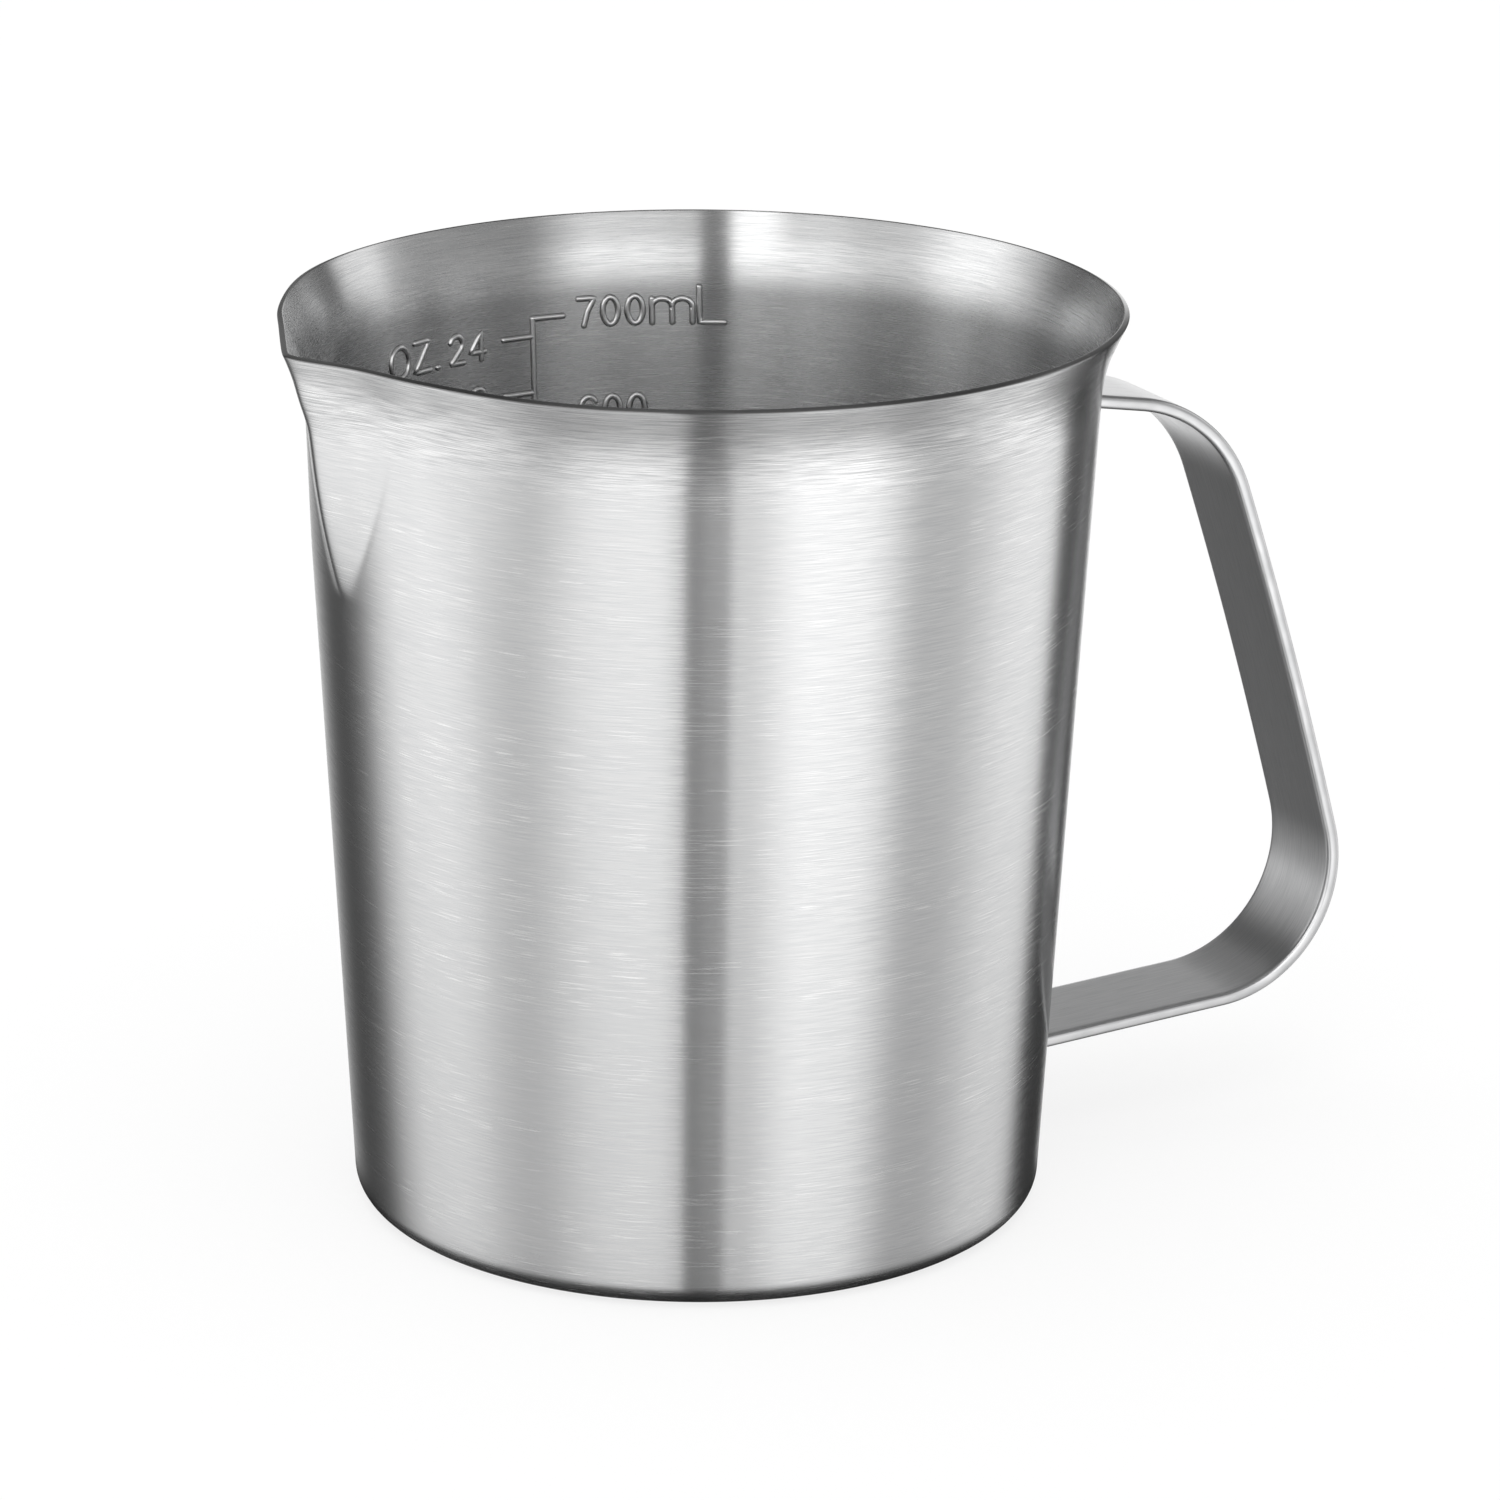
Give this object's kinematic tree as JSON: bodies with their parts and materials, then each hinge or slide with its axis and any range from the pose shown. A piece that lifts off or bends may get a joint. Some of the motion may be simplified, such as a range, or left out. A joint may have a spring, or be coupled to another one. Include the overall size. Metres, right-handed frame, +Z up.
{
  "type": "measuring jug",
  "caption": "Brushed steel measuring jug: tapered drawn bowl with a turned-out lip, a pinched pouring spout, a raised volume scale inside and a welded strap handle.",
  "frame": {"origin": "centre of the flat base, on the surface that the jug stands on", "axes": "+Z up along the axis of the bowl, +X towards the handle, so the spout points along -X, +Y towards the side with the scale"},
  "size_m": [0.1493, 0.1066, 0.1169],
  "materials": {
    "bowl_steel": "brushed round the axis",
    "handle_steel": "satin, brushed along the strap",
    "weld_steel": "satin, dressed weld"
  },
  "bodies": {
    "root": {"jug_body": "bowl_steel", "handle": "handle_steel", "upper_handle_weld": "weld_steel", "lower_handle_weld": "weld_steel"}
  },
  "joints": []
}
